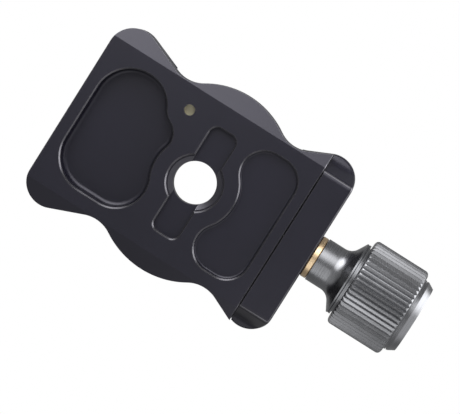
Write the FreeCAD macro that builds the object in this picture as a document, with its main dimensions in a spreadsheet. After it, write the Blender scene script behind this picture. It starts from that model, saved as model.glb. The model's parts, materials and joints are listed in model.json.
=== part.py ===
import FreeCAD, Part
import math
import os
import re
import Sketcher

# Quick release clamp for dovetail camera plates, in millimetres.
# The origin is the centre of the mounting hole on the flat underside, +Z is up towards the jaws,
# +X points at the knob and +Y runs along the plate channel.

# Driving sizes, one spreadsheet cell each
SIZES = {
    # Plan: a bulge on each side of the mounting hole, between a jaw bar at each end
    "body_length": 42.2,
    "gap_plane": 21.2,
    "jaw_gap": 0.15,
    "jaw_thickness": 7.1,
    "jaw_setback": 0.48,
    "corner_radius": 5.3,
    "bulge_radius": 17.9,
    "scallop_radius": 6.7,
    "scallop_land": 0.11,
    # Heights
    "floor_height": 9.0,
    "top_height": 15.5,
    "screw_height": 5.5,
    "slide_clearance": 0.25,
    # Bevels, stepped jaw ends and broken edges
    "bevel_width": 4.0,
    "bevel_height": 1.8,
    "jaw_step_inset": 4.6,
    "jaw_step_run": 2.6,
    "jaw_step_height": 5.5,
    "jaw_step_rise": 0.2,
    "jaw_step_round": 1.4,
    "jaw_cove_radius": 2.2,
    "end_chamfer": 5.5,
    "top_chamfer": 0.8,
    "edge_break": 0.15,
    "rim_break": 0.3,
    "jaw_edge_round": 0.6,
    # Dovetail channel, 45 degree flanks
    "dovetail_root": 19.2,
    "fixed_jaw": 11.2,
    "dovetail_reach": 2.9,
    "closed_width": 37.2,
    "root_step": 1.2,
    # Mounting hole, its seat below and its screw head recess above
    "hole_radius": 4.55,
    "lead_in_width": 1.05,
    "lead_in_depth": 0.6,
    "seat_radius": 5.9,
    "seat_depth": 0.9,
    "head_recess_radius": 7.4,
    "head_recess_depth": 3.6,
    # Key slot across the mounting hole
    "key_width": 6.0,
    "key_length": 24.9,
    "key_corner": 1.7,
    "key_depth": 1.7,
    # Lightening pockets in the underside
    "pocket_margin": 3.1,
    "pocket_inset": 2.8,
    "pocket_shoulder": 7.0,
    "pocket_land": 0.3,
    "pocket_lobe": 6.9,
    "pocket_bulge": 4.0,
    "pocket_depth": 5.0,
    "pocket_floor_round": 1.0,
    "boss_radius": 9.5,
    "level_boss_radius": 4.85,
    "kidney_inset": 2.65,
    "kidney_corner": 5.0,
    "kidney_depth": 1.7,
    "kidney_floor_round": 0.5,
    # Round bubble level in the channel floor
    "level_across": 8.9,
    "level_inset": 4.85,
    "level_radius": 4.0,
    "level_height": 7.0,
    "level_recess": 0.2,
    "level_wall": 0.6,
    "level_base": 0.7,
    "level_rim": 0.8,
    "level_dome": 0.5,
    "bubble_radius": 1.3,
    "bubble_depth": 0.5,
    "bubble_shoulder": 1.05,
    "bubble_shoulder_depth": 0.35,
    "push_hole_radius": 1.15,
    # Guide pins and the springs round them
    "pin_radius": 1.5,
    "pin_inset": 7.7,
    "pin_grip": 5.8,
    "pin_engagement": 13.6,
    "pin_end_room": 0.6,
    "pin_chamfer": 0.3,
    "spring_pocket_radius": 2.6,
    "spring_pocket_depth": 8.0,
    "spring_radius": 2.05,
    "spring_wire": 0.5,
    "spring_turns": 7.0,
    # Clamp screw, 0.8 mm pitch
    "screw_radius": 2.5,
    "screw_engagement": 12.0,
    "screw_end_room": 0.6,
    "screw_tip_chamfer": 0.6,
    "screw_jaw_clearance": 0.25,
    "screw_head_radius": 4.25,
    "screw_head_length": 5.0,
    "screw_head_chamfer": 0.4,
    "socket_width": 4.0,
    "socket_depth": 2.5,
    # Thrust washer
    "washer_radius": 4.78,
    "washer_thickness": 1.4,
    "washer_chamfer": 0.2,
    # Knob
    "neck_radius": 4.9,
    "neck_length": 5.35,
    "flare_round": 2.7,
    "flange_step": 1.68,
    "flange_start": 7.25,
    "flange_edge": 0.85,
    "flange_line": 0.22,
    "flange_line_depth": 0.15,
    "neck_groove": 0.3,
    "neck_groove_depth": 0.6,
    "drum_radius": 9.95,
    "drum_length": 12.9,
    "drum_round": 0.9,
    "flute_count": 56,
    "flute_depth": 0.42,
    "flute_half_width": 0.5,
    "end_ring_step": 1.6,
    "end_ring_length": 0.4,
    "screw_head_seat": 14.0,
    # Knob cap
    "cap_step": 1.67,
    "cap_thickness": 1.95,
    "cap_groove": 0.22,
    "cap_groove_depth": 0.25,
    "cap_band": 0.35,
    "cap_taper": 0.8,
    "cap_spigot_length": 1.8,
    # Clearances of fixed and running fits, on the radius, and play between flat faces
    "fixed_fit": 0.02,
    "running_fit": 0.05,
    "face_play": 0.05,
    # How far a cutting outline runs past the faces it opens
    "cut_margin": 1.0,
}

# Places and sizes that several pieces share, written from the driving sizes
BODY_HALF = "(body_length / 2)"
JAW_HALF = f"({BODY_HALF} - jaw_setback)"
FLAT_HALF = f"({BODY_HALF} - bevel_width)"
POCKET_HALF = f"({FLAT_HALF} - pocket_margin)"
PIN_SPREAD = f"({BODY_HALF} - pin_inset)"
JAW_INNER = "(gap_plane + jaw_gap)"
JAW_OUTER = f"({JAW_INNER} + jaw_thickness)"
FIXED_END = "(0 - dovetail_root - fixed_jaw)"
FIXED_ROOT = "(0 - dovetail_root)"
FIXED_LIP = f"({FIXED_ROOT} + dovetail_reach)"
MOVING_ROOT = f"({FIXED_ROOT} + closed_width)"
MOVING_LIP = f"({MOVING_ROOT} - dovetail_reach)"
LIP_LOW = "(floor_height + root_step + dovetail_reach)"
KNOB_FACE = f"({JAW_OUTER} + washer_thickness + face_play)"
DRUM_START = "(flange_start + flange_edge + neck_groove)"
DRUM_END = f"({DRUM_START} + drum_length)"
KNOB_END = f"({DRUM_END} + end_ring_length)"
FLANGE_RADIUS = "(drum_radius - flange_step)"
END_RING_RADIUS = "(drum_radius - end_ring_step)"
CAP_RADIUS = "(drum_radius - cap_step)"
SCREW_TIP = "(gap_plane - screw_engagement)"
HEAD_SEAT = f"({KNOB_FACE} + screw_head_seat)"
LEVEL_ALONG = f"({FLAT_HALF} - level_inset)"
LEVEL_X = "(0 - level_across)"
LEVEL_Y = f"(0 - {LEVEL_ALONG})"
LEVEL_TOP = "(floor_height - level_recess)"
LEVEL_BOTTOM = f"({LEVEL_TOP} - level_height)"
LEVEL_BORE = "(level_radius - level_wall)"
LEVEL_LID_SEAT = "(level_height - level_rim)"
SPRING_SEAT = "(gap_plane - spring_pocket_depth)"
SPRING_LENGTH = "(spring_pocket_depth + jaw_gap)"

doc = FreeCAD.newDocument("QuickReleaseClamp")
sheet = doc.addObject("Spreadsheet::Sheet", "Sizes")
for row, (name, size) in enumerate(SIZES.items(), start=1):
    sheet.set(f"A{row}", name)
    sheet.set(f"B{row}", str(size))
    sheet.setAlias(f"B{row}", name)
doc.recompute()


def bound(text):
    """An expression over size names, as the spreadsheet knows them."""
    return re.sub(r"[a-z_]+", lambda m: f"Sizes.{m[0]}" if m[0] in SIZES else m[0], text)


def value(text):
    """What an expression over size names comes to now."""
    return float(sheet.evalExpression(bound(text)))


# Sketch helpers


def new_body(label):
    body = doc.addObject("PartDesign::Body", label)
    body.Label = label
    return body


def place(body, x="0", y="0", z="0"):
    """Binds where the body's own frame sits."""
    for axis, text in zip("xyz", (x, y, z)):
        body.setExpression(f".Placement.Base.{axis}", bound(text))


def new_sketch(body, name, plane, offset="0"):
    sketch = body.newObject("Sketcher::SketchObject", name)
    support = next(f for f in body.Origin.OriginFeatures if f.Role == plane)
    sketch.AttachmentSupport = [(support, "")]
    sketch.MapMode = "FlatFace"
    sketch.setExpression(".AttachmentOffset.Base.z", bound(offset))
    return sketch


def tie(sketch, kind, *where, size):
    """Adds one dimension and binds it to the spreadsheet."""
    index = sketch.addConstraint(Sketcher.Constraint(kind, *where, value(size)))
    sketch.setExpression(f"Constraints[{index}]", bound(size))


def tie_point(sketch, geometry, corner, x, y):
    tie(sketch, "DistanceX", -1, 1, geometry, corner, size=x)
    tie(sketch, "DistanceY", -1, 1, geometry, corner, size=y)


def draw_polygon(sketch, corners):
    """A closed outline of straight edges through (x, y) expressions."""
    points = [FreeCAD.Vector(value(x), value(y), 0) for x, y in corners]
    edges = []
    for start, end in zip(points, points[1:] + points[:1]):
        edges.append(sketch.addGeometry(Part.LineSegment(start, end), False))
    for before, after in zip(edges[-1:] + edges[:-1], edges):
        sketch.addConstraint(Sketcher.Constraint("Coincident", before, 2, after, 1))
    for edge, (x, y) in zip(edges, corners):
        tie_point(sketch, edge, 1, x, y)


def draw_circle(sketch, x, y, radius):
    centre = FreeCAD.Vector(value(x), value(y), 0)
    circle = sketch.addGeometry(Part.Circle(centre, FreeCAD.Vector(0, 0, 1), value(radius)), False)
    tie_point(sketch, circle, 3, x, y)
    tie(sketch, "Radius", circle, size=radius)


def draw_belt(sketch, wheels):
    """A smooth closed outline that runs round a row of circles, like a belt round wheels.

    Each wheel is (x, y, radius, turn, held): turn is 1 where the outline bulges and -1 where it is hollow,
    and held names the centre's coordinates that are dimensioned; the others follow from touching a neighbour.
    """
    circles = [(FreeCAD.Vector(value(x), value(y), 0), value(r), turn) for x, y, r, turn, held in wheels]
    headings, gaps = [], []
    for (c1, r1, t1), (c2, r2, t2) in zip(circles, circles[1:] + circles[:1]):
        across = c2 - c1
        lean = max(-1.0, min(1.0, (t2 * r2 - t1 * r1) / across.Length))
        headings.append(math.atan2(across.y, across.x) - math.asin(lean))
        gaps.append(across.Length * math.sqrt(1 - lean * lean))
    arcs = []
    for i, (centre, radius, turn) in enumerate(circles):
        enter = headings[i - 1] - turn * math.pi / 2
        leave = headings[i] - turn * math.pi / 2
        first, last = (enter, leave) if turn > 0 else (leave, enter)
        circle = Part.Circle(centre, FreeCAD.Vector(0, 0, 1), radius)
        arcs.append(sketch.addGeometry(Part.ArcOfCircle(circle, first, last), False))
    for arc, (x, y, radius, turn, held) in zip(arcs, wheels):
        tie(sketch, "Radius", arc, size=radius)
        if "x" in held:
            tie(sketch, "DistanceX", -1, 1, arc, 3, size=x)
        if "y" in held:
            tie(sketch, "DistanceY", -1, 1, arc, 3, size=y)
    touching = 0.001
    for i, (centre, radius, turn) in enumerate(circles):
        after = (i + 1) % len(circles)
        out_end = 2 if turn > 0 else 1
        in_end = 1 if circles[after][2] > 0 else 2
        if gaps[i] < touching:
            sketch.addConstraint(Sketcher.Constraint("Tangent", arcs[i], out_end, arcs[after], in_end))
            continue
        ahead = FreeCAD.Vector(math.cos(headings[i]), math.sin(headings[i]), 0)
        side = FreeCAD.Vector(ahead.y, -ahead.x, 0)
        start = centre + side * (turn * radius)
        line = sketch.addGeometry(Part.LineSegment(start, start + ahead * gaps[i]), False)
        sketch.addConstraint(Sketcher.Constraint("Tangent", arcs[i], out_end, line, 1))
        sketch.addConstraint(Sketcher.Constraint("Tangent", line, 2, arcs[after], in_end))


# Feature helpers


def add_pad(body, sketch, name, length):
    pad = body.newObject("PartDesign::Pad", name)
    pad.Profile = sketch
    pad.setExpression("Length", bound(length))
    doc.recompute()


def add_turning(body, sketch, name):
    """A solid turned about the sketch's horizontal axis."""
    turning = body.newObject("PartDesign::Revolution", name)
    turning.Profile = sketch
    turning.ReferenceAxis = (sketch, ["H_Axis"])
    doc.recompute()


def check_cut(body, name, before):
    doc.recompute()
    if not body.Shape.Volume < before - 1e-6:
        raise RuntimeError(f"{name} cuts nothing from {body.Label}")


def add_pocket(body, sketch, name, depth=None, upward=False):
    """A cut against the sketch's normal, along it when upward; through everything when no depth is given."""
    before = body.Shape.Volume
    pocket = body.newObject("PartDesign::Pocket", name)
    pocket.Profile = sketch
    if depth is None:
        pocket.Type = "ThroughAll"
        pocket.SideType = "Symmetric"
    else:
        pocket.setExpression("Length", bound(depth))
        pocket.Reversed = upward
    check_cut(body, name, before)
    return pocket


def add_groove(body, sketch, name, axis):
    before = body.Shape.Volume
    groove = body.newObject("PartDesign::Groove", name)
    groove.Profile = sketch
    groove.ReferenceAxis = (sketch, [axis])
    check_cut(body, name, before)


def edges_in(body, low, high):
    """Names of the edges that lie wholly inside a box given by expressions."""
    slack = 0.02
    low = [value(text) - slack for text in low]
    high = [value(text) + slack for text in high]
    names = []
    for number, edge in enumerate(body.Shape.Edges, start=1):
        box = edge.BoundBox
        inside = low[0] <= box.XMin and low[1] <= box.YMin and low[2] <= box.ZMin
        if inside and box.XMax <= high[0] and box.YMax <= high[1] and box.ZMax <= high[2]:
            names.append(f"Edge{number}")
    if not names:
        raise RuntimeError(f"no edge of {body.Label} in that box")
    return names


def ring_edges(body, x, radius):
    """Names of the round edges of one radius at one place along the body's X axis."""
    slack = 0.001
    names = []
    for number, edge in enumerate(body.Shape.Edges, start=1):
        ring = edge.Curve
        if not isinstance(ring, Part.Circle) or abs(ring.Radius - value(radius)) > slack:
            continue
        if abs(ring.Center.x - value(x)) < slack:
            names.append(f"Edge{number}")
    if not names:
        raise RuntimeError(f"no round edge of {body.Label} there")
    return names


def add_edges(body, kind, name, edges, size):
    """A Chamfer or Fillet of one size on the named edges of the body as it is now."""
    feature = body.newObject(f"PartDesign::{kind}", name)
    feature.Base = (feature.BaseFeature, edges)
    feature.setExpression("Size" if kind == "Chamfer" else "Radius", bound(size))
    doc.recompute()


# The outline that the base and the moving jaw share


def outline_wheels():
    bulge_y = f"({BODY_HALF} - bulge_radius)"
    scallop_y = f"({FLAT_HALF} + scallop_land + scallop_radius)"
    scallop_x = f"sqrt((bulge_radius + scallop_radius)^2 - ({scallop_y} - {bulge_y})^2)"
    lower = [
        (f"{FIXED_END} + corner_radius", f"0 - ({BODY_HALF} - corner_radius)", "corner_radius", 1, "xy"),
        (f"0 - {scallop_x}", f"0 - {scallop_y}", "scallop_radius", -1, "y"),
        ("0", f"0 - {bulge_y}", "bulge_radius", 1, "xy"),
        (scallop_x, f"0 - {scallop_y}", "scallop_radius", -1, "y"),
        (f"{JAW_OUTER} - corner_radius", f"0 - ({JAW_HALF} - corner_radius)", "corner_radius", 1, "xy"),
    ]
    upper = [(x, f"0 - ({y})", radius, turn, held) for x, y, radius, turn, held in reversed(lower)]
    return lower + upper


def pad_outline(body):
    sketch = new_sketch(body, f"{body.Name}_outline", "XY_Plane")
    draw_belt(sketch, outline_wheels())
    add_pad(body, sketch, f"{body.Name}_block", "top_height")


def add_crease(body, name, kind, y, z, size):
    """Rounds or breaks the long edges at one place along Y, on both sides of the middle."""
    creases = []
    for place_y in (y, f"0 - {y}"):
        creases += edges_in(body, (FIXED_END, place_y, z), (JAW_OUTER, place_y, z))
    add_edges(body, kind, f"{body.Name}_{name}", creases, size)


def cut_end_chamfers(body, half_length):
    """Takes the corners off the top of a jaw's two ends."""
    outside = f"({half_length} + cut_margin)"
    sketch = new_sketch(body, f"{body.Name}_end_chamfers", "YZ_Plane")
    for side in ("", "0 - "):
        draw_polygon(sketch, [
            (f"{side}({half_length} - end_chamfer)", "top_height"),
            (f"{side}{outside}", "top_height - end_chamfer - cut_margin"),
            (f"{side}{outside}", "top_height + cut_margin"),
            (f"{side}({half_length} - end_chamfer)", "top_height + cut_margin"),
        ])
    add_pocket(body, sketch, f"{body.Name}_end_chamfer_cut")


# Base with the fixed jaw


def cut_bevels(body):
    """Slopes the underside up to both ends of the base."""
    slope = "(bevel_height / bevel_width)"
    outside = f"({BODY_HALF} + cut_margin)"
    sketch = new_sketch(body, "bevels", "YZ_Plane")
    for side in ("", "0 - "):
        draw_polygon(sketch, [
            (f"{side}{FLAT_HALF}", "0"),
            (f"{side}{outside}", f"{slope} * ({outside} - {FLAT_HALF})"),
            (f"{side}{outside}", "0 - cut_margin"),
            (f"{side}{FLAT_HALF}", "0 - cut_margin"),
        ])
    add_pocket(body, sketch, "bevel_cut")
    add_crease(body, "creases", "Fillet", FLAT_HALF, "0", "rim_break")


def cut_base_section(body):
    """Opens the dovetail channel, ends the base at the gap and breaks its long edges."""
    outside = f"({JAW_OUTER} + cut_margin)"
    beyond_left = f"({FIXED_END} - cut_margin)"
    sketch = new_sketch(body, "base_section", "XZ_Plane")
    draw_polygon(sketch, [
        ("gap_plane", "0 - cut_margin"),
        ("gap_plane", "floor_height - edge_break"),
        ("gap_plane - edge_break", "floor_height"),
        (FIXED_ROOT, "floor_height"),
        (FIXED_ROOT, "floor_height + root_step"),
        (FIXED_LIP, LIP_LOW),
        (FIXED_LIP, "top_height - edge_break"),
        (f"{FIXED_LIP} - edge_break", "top_height"),
        (f"{FIXED_LIP} - edge_break", "top_height + cut_margin"),
        (outside, "top_height + cut_margin"),
        (outside, "0 - cut_margin"),
    ])
    draw_polygon(sketch, [
        (f"{FIXED_END} + edge_break", "0"),
        (FIXED_END, "edge_break"),
        (beyond_left, "edge_break"),
        (beyond_left, "0 - cut_margin"),
        (f"{FIXED_END} + edge_break", "0 - cut_margin"),
    ])
    draw_polygon(sketch, [
        (FIXED_END, "top_height - top_chamfer"),
        (f"{FIXED_END} + top_chamfer", "top_height"),
        (f"{FIXED_END} + top_chamfer", "top_height + cut_margin"),
        (beyond_left, "top_height + cut_margin"),
        (beyond_left, "top_height - top_chamfer"),
    ])
    add_pocket(body, sketch, "base_section_cut")


def break_gap_edge(body):
    """Breaks the lower edge at the gap, along the flat and up both bevels."""
    low = ("gap_plane", f"0 - {BODY_HALF}", "0")
    edges = edges_in(body, low, ("gap_plane", BODY_HALF, "bevel_height"))
    add_edges(body, "Chamfer", "gap_edge", edges, "edge_break")


def cut_deep_pocket(body):
    """The deep pocket under the fixed jaw, hollowed round the mounting hole and the level."""
    left = f"({FIXED_END} + pocket_inset)"
    shoulder_y = f"({POCKET_HALF} - pocket_shoulder)"
    reach = "(level_boss_radius + pocket_shoulder)"
    shoulder_x = f"({LEVEL_X} - sqrt({reach}^2 - ({shoulder_y} - {LEVEL_ALONG})^2))"
    corner_x = f"({shoulder_x} - pocket_land)"
    corner = f"({corner_x} - {left})"
    corner_y = f"({POCKET_HALF} - {corner})"
    lobe_y = f"({POCKET_HALF} - pocket_lobe)"
    lobe_x = f"(0 - sqrt((boss_radius + pocket_lobe)^2 - {lobe_y}^2))"
    spacing = f"sqrt(level_across^2 + {LEVEL_ALONG}^2)"
    to_hole = "(boss_radius + pocket_bulge)"
    to_level = "(level_boss_radius + pocket_bulge)"
    along = f"(({to_hole}^2 - {to_level}^2 + {spacing}^2) / (2 * {spacing}))"
    aside = f"sqrt({to_hole}^2 - {along}^2)"
    bulge_x = f"(0 - ({along} * level_across + {aside} * {LEVEL_ALONG}) / {spacing})"
    bulge_y = f"(({aside} * level_across - {along} * {LEVEL_ALONG}) / {spacing})"
    sketch = new_sketch(body, "deep_pocket", "XY_Plane")
    draw_belt(sketch, [
        (corner_x, f"0 - {corner_y}", corner, 1, "xy"),
        (shoulder_x, f"0 - {shoulder_y}", "pocket_shoulder", 1, "y"),
        (LEVEL_X, LEVEL_Y, "level_boss_radius", -1, "xy"),
        (bulge_x, bulge_y, "pocket_bulge", 1, ""),
        ("0", "0", "boss_radius", -1, "xy"),
        (lobe_x, lobe_y, "pocket_lobe", 1, "y"),
        (corner_x, corner_y, corner, 1, "xy"),
    ])
    add_pocket(body, sketch, "deep_pocket_cut", "pocket_depth", upward=True)
    right = "0 - seat_radius"
    edges = edges_in(body, (left, f"0 - {POCKET_HALF}", "0"), (right, POCKET_HALF, "0"))
    add_edges(body, "Chamfer", "deep_pocket_rim", edges, "rim_break")
    edges = edges_in(body, (left, f"0 - {POCKET_HALF}", "pocket_depth"), (right, POCKET_HALF, "pocket_depth"))
    add_edges(body, "Fillet", "deep_pocket_floor", edges, "pocket_floor_round")


def cut_kidney_pocket(body):
    """The shallow pocket under the clamp screw."""
    right_x = "(gap_plane - kidney_inset - kidney_corner)"
    corner_y = f"({POCKET_HALF} - kidney_corner)"
    lobe_x = f"sqrt((boss_radius + kidney_corner)^2 - {corner_y}^2)"
    sketch = new_sketch(body, "kidney_pocket", "XY_Plane")
    draw_belt(sketch, [
        (lobe_x, f"0 - {corner_y}", "kidney_corner", 1, "y"),
        (right_x, f"0 - {corner_y}", "kidney_corner", 1, "xy"),
        (right_x, corner_y, "kidney_corner", 1, "xy"),
        (lobe_x, corner_y, "kidney_corner", 1, "y"),
        ("0", "0", "boss_radius", -1, "xy"),
    ])
    add_pocket(body, sketch, "kidney_pocket_cut", "kidney_depth", upward=True)
    right = "gap_plane - kidney_inset"
    edges = edges_in(body, ("0", f"0 - {POCKET_HALF}", "0"), (right, POCKET_HALF, "0"))
    add_edges(body, "Chamfer", "kidney_pocket_rim", edges, "rim_break")
    edges = edges_in(body, ("0", f"0 - {POCKET_HALF}", "kidney_depth"), (right, POCKET_HALF, "kidney_depth"))
    add_edges(body, "Fillet", "kidney_pocket_floor", edges, "kidney_floor_round")


def cut_key_slot(body):
    x = "(key_width / 2 - key_corner)"
    y = "(key_length / 2 - key_corner)"
    sketch = new_sketch(body, "key_slot", "XY_Plane")
    draw_belt(sketch, [
        (f"0 - {x}", f"0 - {y}", "key_corner", 1, "xy"),
        (x, f"0 - {y}", "key_corner", 1, "xy"),
        (x, y, "key_corner", 1, "xy"),
        (f"0 - {x}", y, "key_corner", 1, "xy"),
    ])
    add_pocket(body, sketch, "key_slot_cut", "key_depth", upward=True)
    low = ("0 - key_width / 2", "0 - key_length / 2", "0")
    edges = edges_in(body, low, ("key_width / 2", "key_length / 2", "0"))
    add_edges(body, "Chamfer", "key_slot_rim", edges, "rim_break")


def cut_mounting_hole(body):
    """Seat and lead-in below, through hole, and screw head recess above, turned in one cut about +Z."""
    recess_floor = "(floor_height - head_recess_depth)"
    sketch = new_sketch(body, "mounting_hole", "XZ_Plane")
    draw_polygon(sketch, [
        ("0", "0 - cut_margin"),
        ("seat_radius + rim_break + cut_margin", "0 - cut_margin"),
        ("seat_radius", "rim_break"),
        ("seat_radius", "seat_depth"),
        ("hole_radius + lead_in_width", "seat_depth"),
        ("hole_radius", "seat_depth + lead_in_depth"),
        ("hole_radius", recess_floor),
        ("head_recess_radius", recess_floor),
        ("head_recess_radius", "floor_height - rim_break"),
        ("head_recess_radius + rim_break + cut_margin", "floor_height + cut_margin"),
        ("0", "floor_height + cut_margin"),
    ])
    add_groove(body, sketch, "mounting_hole_cut", "V_Axis")


def cut_level_seat(body):
    sketch = new_sketch(body, "level_seat", "XY_Plane", "floor_height")
    draw_circle(sketch, LEVEL_X, LEVEL_Y, "level_radius + fixed_fit")
    add_pocket(body, sketch, "level_seat_cut", "level_height + level_recess")
    sketch = new_sketch(body, "push_hole", "XY_Plane", LEVEL_BOTTOM)
    draw_circle(sketch, LEVEL_X, LEVEL_Y, "push_hole_radius")
    add_pocket(body, sketch, "push_hole_cut", f"{LEVEL_BOTTOM} + cut_margin")


def cut_base_bores(body):
    """Bores that open at the gap: the screw thread, the guide pins and their spring pockets."""
    sketch = new_sketch(body, "thread_bore", "YZ_Plane", "gap_plane")
    draw_circle(sketch, "0", "screw_height", "screw_radius + running_fit")
    add_pocket(body, sketch, "thread_bore_cut", "screw_engagement + screw_end_room")
    sketch = new_sketch(body, "pin_bores", "YZ_Plane", "gap_plane")
    for side in (PIN_SPREAD, f"0 - {PIN_SPREAD}"):
        draw_circle(sketch, side, "screw_height", "pin_radius + running_fit")
    add_pocket(body, sketch, "pin_bores_cut", "pin_engagement + pin_end_room")
    sketch = new_sketch(body, "spring_pockets", "YZ_Plane", "gap_plane")
    for side in (PIN_SPREAD, f"0 - {PIN_SPREAD}"):
        draw_circle(sketch, side, "screw_height", "spring_pocket_radius")
    add_pocket(body, sketch, "spring_pockets_cut", "spring_pocket_depth")


def make_base_plate():
    body = new_body("base_plate")
    pad_outline(body)
    cut_base_section(body)
    cut_bevels(body)
    cut_end_chamfers(body, BODY_HALF)
    break_gap_edge(body)
    cut_deep_pocket(body)
    cut_kidney_pocket(body)
    cut_mounting_hole(body)
    cut_key_slot(body)
    cut_level_seat(body)
    cut_base_bores(body)
    return body


# Moving jaw


def cut_jaw_steps(body):
    """Steps the underside up at both ends of the jaw, with a rounded brow and a hollow foot."""
    brow = f"({BODY_HALF} - jaw_step_inset)"
    foot = f"({brow} + jaw_step_run)"
    outside = f"({JAW_HALF} + cut_margin)"
    sketch = new_sketch(body, "jaw_steps", "YZ_Plane")
    for side in ("", "0 - "):
        draw_polygon(sketch, [
            (f"{side}{brow}", "0"),
            (f"{side}{foot}", "jaw_step_height"),
            (f"{side}{outside}", "jaw_step_height + jaw_step_rise"),
            (f"{side}{outside}", "0 - cut_margin"),
            (f"{side}{brow}", "0 - cut_margin"),
        ])
    add_pocket(body, sketch, "jaw_step_cut")
    add_crease(body, "brows", "Fillet", brow, "0", "jaw_step_round")
    add_crease(body, "coves", "Fillet", foot, "jaw_step_height", "jaw_cove_radius")


def cut_jaw_section(body):
    """Leaves the upright bar, the ledge over the base and the dovetail flank above it."""
    outside = f"({JAW_OUTER} + cut_margin)"
    beyond_left = f"({FIXED_END} - cut_margin)"
    sketch = new_sketch(body, "jaw_section", "XZ_Plane")
    draw_polygon(sketch, [
        (f"{JAW_INNER} + edge_break", "0 - cut_margin"),
        (f"{JAW_INNER} + edge_break", "0"),
        (JAW_INNER, "edge_break"),
        (JAW_INNER, "floor_height + slide_clearance"),
        (MOVING_ROOT, "floor_height + slide_clearance"),
        (MOVING_ROOT, "floor_height + root_step"),
        (MOVING_LIP, LIP_LOW),
        (MOVING_LIP, "top_height - edge_break"),
        (f"{MOVING_LIP} + edge_break", "top_height"),
        (f"{MOVING_LIP} + edge_break", "top_height + cut_margin"),
        (beyond_left, "top_height + cut_margin"),
        (beyond_left, "0 - cut_margin"),
    ])
    draw_polygon(sketch, [
        (JAW_OUTER, "top_height - top_chamfer"),
        (f"{JAW_OUTER} - top_chamfer", "top_height"),
        (f"{JAW_OUTER} - top_chamfer", "top_height + cut_margin"),
        (outside, "top_height + cut_margin"),
        (outside, "top_height - top_chamfer"),
    ])
    add_pocket(body, sketch, "jaw_section_cut")


def cut_jaw_bores(body):
    sketch = new_sketch(body, "screw_hole", "YZ_Plane", JAW_INNER)
    draw_circle(sketch, "0", "screw_height", "screw_radius + screw_jaw_clearance")
    add_pocket(body, sketch, "screw_hole_cut", "jaw_thickness + cut_margin", upward=True)
    sketch = new_sketch(body, "pin_grips", "YZ_Plane", JAW_INNER)
    for side in (PIN_SPREAD, f"0 - {PIN_SPREAD}"):
        draw_circle(sketch, side, "screw_height", "pin_radius + fixed_fit")
    add_pocket(body, sketch, "pin_grips_cut", "pin_grip", upward=True)


def make_moving_jaw():
    body = new_body("moving_jaw")
    pad_outline(body)
    cut_jaw_section(body)
    cut_jaw_steps(body)
    cut_end_chamfers(body, JAW_HALF)
    low = (f"{JAW_OUTER} - jaw_edge_round", f"0 - {JAW_HALF}", "0")
    edges = edges_in(body, low, (JAW_OUTER, JAW_HALF, "0"))
    add_edges(body, "Fillet", "jaw_lower_edge", edges, "jaw_edge_round")
    cut_jaw_bores(body)
    return body


# Guide pins and return springs


def make_guide_pin(label, y):
    length = "(pin_engagement + jaw_gap + pin_grip)"
    body = new_body(label)
    sketch = new_sketch(body, f"{label}_profile", "XZ_Plane")
    draw_polygon(sketch, [
        ("0", "0"),
        ("0", "pin_radius - pin_chamfer"),
        ("pin_chamfer", "pin_radius"),
        (f"{length} - pin_chamfer", "pin_radius"),
        (length, "pin_radius - pin_chamfer"),
        (length, "0"),
    ])
    add_turning(body, sketch, f"{label}_turning")
    place(body, "gap_plane - pin_engagement", y, "screw_height")
    return body


def make_return_spring(label, y):
    body = new_body(label)
    sketch = new_sketch(body, f"{label}_wire", "XZ_Plane")
    draw_circle(sketch, "spring_wire / 2", "spring_radius", "spring_wire / 2")
    coil = body.newObject("PartDesign::AdditiveHelix", f"{label}_coil")
    coil.Profile = sketch
    coil.ReferenceAxis = (sketch, ["H_Axis"])
    coil.Mode = "height-turns-angle"
    coil.setExpression("Height", bound(f"{SPRING_LENGTH} - spring_wire"))
    coil.setExpression("Turns", bound("spring_turns"))
    doc.recompute()
    place(body, SPRING_SEAT, y, "screw_height")
    return body


# Clamp screw, thrust washer, knob and cap, each turned about its own X axis


def make_clamp_screw():
    seat = f"({HEAD_SEAT} - {SCREW_TIP})"
    end = f"({seat} + screw_head_length)"
    body = new_body("clamp_screw")
    sketch = new_sketch(body, "screw_profile", "XZ_Plane")
    draw_polygon(sketch, [
        ("0", "0"),
        ("0", "screw_radius - screw_tip_chamfer"),
        ("screw_tip_chamfer", "screw_radius"),
        (seat, "screw_radius"),
        (seat, "screw_head_radius"),
        (f"{end} - screw_head_chamfer", "screw_head_radius"),
        (end, "screw_head_radius - screw_head_chamfer"),
        (end, "0"),
    ])
    add_turning(body, sketch, "screw_turning")
    flat = "(socket_width / 2)"
    corner = "(socket_width / sqrt(3))"
    half_corner = f"({corner} / 2)"
    sketch = new_sketch(body, "hex_socket", "YZ_Plane", end)
    draw_polygon(sketch, [
        (corner, "0"),
        (half_corner, flat),
        (f"0 - {half_corner}", flat),
        (f"0 - {corner}", "0"),
        (f"0 - {half_corner}", f"0 - {flat}"),
        (half_corner, f"0 - {flat}"),
    ])
    add_pocket(body, sketch, "hex_socket_cut", "socket_depth")
    place(body, SCREW_TIP, "0", "screw_height")
    return body


def make_thrust_washer():
    bore = "(screw_radius + screw_jaw_clearance)"
    body = new_body("thrust_washer")
    sketch = new_sketch(body, "washer_profile", "XZ_Plane")
    draw_polygon(sketch, [
        ("0", bore),
        ("0", "washer_radius - washer_chamfer"),
        ("washer_chamfer", "washer_radius"),
        ("washer_thickness - washer_chamfer", "washer_radius"),
        ("washer_thickness", "washer_radius - washer_chamfer"),
        ("washer_thickness", bore),
    ])
    add_turning(body, sketch, "washer_turning")
    place(body, JAW_OUTER, "0", "screw_height")
    return body


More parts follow.
